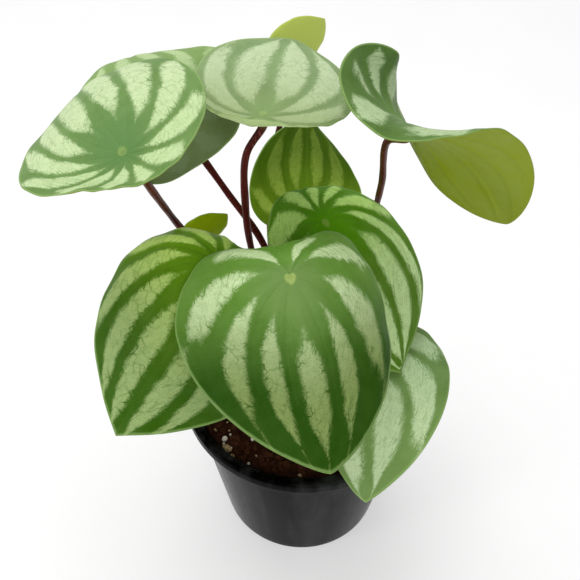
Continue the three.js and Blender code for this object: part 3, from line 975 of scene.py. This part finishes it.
def cloud_noise(x, y, size, seed):
    """Smooth seeded noise about 0 on a grid of random values, lumps about size across."""
    local = np.random.default_rng(seed)
    total = np.zeros_like(x)
    weight = 1.0
    for _ in range(NOISE_OCTAVES):
        table = local.uniform(-1, 1, (NOISE_TABLE, NOISE_TABLE))
        gx, gy = x / size + 17.3, y / size + 9.1
        ix, iy = np.floor(gx).astype(int), np.floor(gy).astype(int)
        fx, fy = gx - ix, gy - iy
        fx, fy = fx * fx * (3 - 2 * fx), fy * fy * (3 - 2 * fy)
        corner = [table[(ix + dx) % NOISE_TABLE, (iy + dy) % NOISE_TABLE] for dx in (0, 1) for dy in (0, 1)]
        total += weight * ((corner[0] * (1 - fy) + corner[1] * fy) * (1 - fx)
                           + (corner[2] * (1 - fy) + corner[3] * fy) * fx)
        weight *= 0.55
        size *= 0.48
    return total


def soil_radius(z):
    """Outside of the soil at a height, as in the CAD part."""
    return wall_radius(z) - POT_WALL - GAP - 0.3


def soil_height(x, y):
    """Height of the soil's top: the CAD part's lumps, with crumbs on them and a bank towards the wall."""
    radius = np.hypot(x, y)
    near_crown = smoothstep(radius, CROWN_RADIUS + GAP, 18)
    coarse = np.sin(0.42 * x + 1.3) * np.cos(0.37 * y - 0.6) + 0.7 * np.sin(0.31 * (x - y) + 2.1)
    fine = 0.5 * np.sin(0.93 * x - 0.4) * np.sin(0.88 * y + 1.7)
    lumps = SOIL_RELIEF * (coarse + fine) / 2.2
    crumbs = 0.60 * cloud_noise(x, y, 3.4, 7) + 0.34 * np.abs(cloud_noise(x, y, 1.3, 8))
    bank = BANK_RISE * smoothstep(radius, 28, 38)
    return SOIL_LEVEL - CROWN_HOLLOW * (1 - near_crown) + near_crown * (lumps + crumbs) + bank


def make_soil(material):
    """The mix in the pot, with a plain hole for the crown."""
    edge = soil_radius(SOIL_LEVEL)
    foot = POT_FLOOR + GAP
    hole = CROWN_RADIUS + GAP
    outer = rounded([(0, foot), (soil_radius(foot) - 1.6, foot), (soil_radius(foot), foot + 1.8),
                     (edge, SOIL_LEVEL - 2), (edge + 0.1, SOIL_LEVEL - 0.6)], 0.5)
    top = [(radius, SOIL_LEVEL) for radius in np.linspace(edge - 0.1, hole + 0.2, SOIL_RINGS)]
    well = [(hole, SOIL_LEVEL - 2), (hole, CROWN_FOOT_Z - GAP), (0, CROWN_FOOT_Z - GAP)]
    profile = np.array([*outer.tolist(), *top, *well])
    points, faces = lathe(filled(profile, 6.0), SOIL_SIDES)
    on_top = np.abs(points[:, 2] - SOIL_LEVEL) < 0.01
    points[on_top, 2] = soil_height(points[on_top, 0], points[on_top, 1])
    piece = make_piece("potting_mix", points, faces, material)
    dress(piece, "potting_mix", "soil")


def scatter(name, places, sizes, flatness, roughness, material):
    """Irregular lumps fused into one mesh: places (x, y, z) and sizes in mm."""
    builder = bmesh.new()
    for place, size in zip(places, sizes):
        lump = bmesh.ops.create_icosphere(builder, subdivisions=LUMP_SUBDIVISIONS, radius=1.0)
        spin = Matrix.Rotation(rng.uniform(0, 2 * math.pi), 3, "Z")
        turn = spin @ Matrix.Rotation(rng.uniform(-0.5, 0.5), 3, "X")
        stretch = Vector((rng.uniform(0.75, 1.35), rng.uniform(0.7, 1.1), flatness * rng.uniform(0.8, 1.15)))
        push = rng.normal(0, 1, (5, 3))
        phase = rng.uniform(0, 6.28, 5)
        for vertex in lump["verts"]:
            co = np.array(vertex.co)
            wave = sum(math.sin(2.1 * float(np.dot(row, co)) + p) for row, p in zip(push, phase)) / 5
            shaped = Vector(co * (1 + roughness * wave))
            shaped = Vector((shaped.x * stretch.x, shaped.y * stretch.y, shaped.z * stretch.z)) * float(size)
            vertex.co = (turn @ shaped + Vector(place)) * MM
    mesh = bpy.data.meshes.new(name)
    builder.to_mesh(mesh)
    builder.free()
    mesh.materials.append(material)
    dress(add_object(name, mesh), "potting_mix")


def random_places(sizes, inner, outer, sink):
    """A place for each size on the soil's top between two radii, sunk by a share of the size."""
    radius = np.sqrt(rng.uniform(inner ** 2, outer ** 2, len(sizes)))
    angle = rng.uniform(0, 2 * math.pi, len(sizes))
    x, y = radius * np.cos(angle), radius * np.sin(angle)
    return np.column_stack([x, y, soil_height(x, y) - sink * sizes + 0.5 * sizes])


def seen_places(bits):
    """Places of (x, y, size) rows, each lying on the soil's top."""
    x, y, size = bits.T
    return np.column_stack([x, y, soil_height(x, y) + 0.6 * size])


def make_soil_bits(name, bits, material):
    """The bits of one kind: first those seen in the photo, then the random ones."""
    drawn = rng.uniform(*bits["sizes"], bits["count"])
    outer = soil_radius(SOIL_LEVEL) - bits["from_edge"]
    places = random_places(drawn, bits["inner"], outer, bits["sink"])
    scatter(name, np.concatenate([seen_places(bits["seen"]), places]),
            np.concatenate([bits["seen"][:, 2], drawn]), bits["flatness"], bits["roughness"], material)


def make_crown():
    """Short fleshy stem: a domed lump with old leaf scars round it."""
    profile = [(0, CROWN_FOOT_Z), (CROWN_RADIUS - 1.5, CROWN_FOOT_Z), (CROWN_RADIUS - 0.2, CROWN_FOOT_Z + 2)]
    lifts = np.linspace(0, math.pi / 2, CROWN_RINGS)
    profile += [(CROWN_RADIUS * math.cos(a), CROWN_CENTRE_Z + CROWN_RADIUS * math.sin(a)) for a in lifts]
    profile[-1] = (0, CROWN_CENTRE_Z + CROWN_RADIUS)
    points, faces = lathe(filled(np.array(profile, dtype=float), 1.2), CROWN_SIDES)
    angle = np.arctan2(points[:, 1], points[:, 0])
    above = smoothstep(points[:, 2], SOIL_LEVEL - 3, SOIL_LEVEL + 1)
    knobs = 0.22 * np.sin(7 * angle + 1.2 * points[:, 2]) + 0.18 * np.sin(11 * angle - 0.9 * points[:, 2])
    points[:, :2] *= (1 + above * (knobs - 0.2) / CROWN_RADIUS)[:, None]
    piece = make_piece("crown_stem", points, faces, crown_material())
    dress(piece, "crown_tissue", "crown")


# Floor, light and camera

def make_floor():
    size = FLOOR_HALF_SIZE
    mesh = bpy.data.meshes.new("floor")
    corners = [(-size, -size, 0), (size, -size, 0), (size, size, 0), (-size, size, 0)]
    mesh.from_pydata(corners, [], [(0, 1, 2, 3)])
    mesh.materials.append(floor_material())
    floor = add_object("floor", mesh)


def area_light(name, place, target, size, power):
    """A soft light at place that faces target; size is its width and height."""
    data = bpy.data.lights.new(name, "AREA")
    data.shape = "RECTANGLE"
    data.size, data.size_y = size
    data.energy = power
    light = add_object(name, data)
    direction = Vector(target) - Vector(place)
    light.matrix_world = Matrix.Translation(place) @ direction.to_track_quat("-Z", "Y").to_matrix().to_4x4()


def make_light():
    for name, light in LIGHTS.items():
        area_light(name, **light)
    world = bpy.data.worlds.new("studio")
    world.use_nodes = True
    background = world.node_tree.nodes["Background"]
    background.inputs["Color"].default_value = (1, 1, 1, 1)
    background.inputs["Strength"].default_value = WORLD_STRENGTH
    bpy.context.scene.world = world
    bpy.context.scene.view_settings.view_transform = "Standard"


def make_camera():
    data = bpy.data.cameras.new("photo_camera")
    data.lens = CAMERA_LENS
    data.sensor_width = CAMERA_SENSOR
    data.clip_start = CAMERA_CLIP_START
    camera = add_object("photo_camera", data)
    forward = Vector((0, math.cos(CAMERA_PITCH), -math.sin(CAMERA_PITCH)))
    level = Vector((1, 0, 0))
    right = level * math.cos(CAMERA_ROLL) + level.cross(forward) * math.sin(CAMERA_ROLL)
    up = right.cross(forward)
    turn = Matrix((right, up, -forward)).transposed().to_4x4()
    camera.matrix_world = Matrix.Translation(CAMERA_TARGET - forward * CAMERA_DISTANCE) @ turn
    bpy.context.scene.camera = camera


# The plant in its pot
make_pot()
make_soil(soil_material("soil_dark", *SOIL_COLOURS))
make_soil_bits("soil_crumbs", CRUMBS, soil_material("soil_crumbs_dark", *CRUMB_COLOURS))
make_soil_bits("bark_bits", BARK, grain_material("bark_tan", *BARK_COLOURS, 1.4, 0.75))
make_soil_bits("perlite_bits", PERLITE, grain_material("perlite_white", *PERLITE_COLOURS, 0.8, 0.8))
make_crown()
stalk_skin = petiole_material("stalk_skin")
for leaf_name, leaf_form in LEAVES.items():
    make_blade(leaf_name, leaf_form)
    make_petiole(leaf_name, leaf_form, stalk_skin)
make_floor()
make_light()
make_camera()
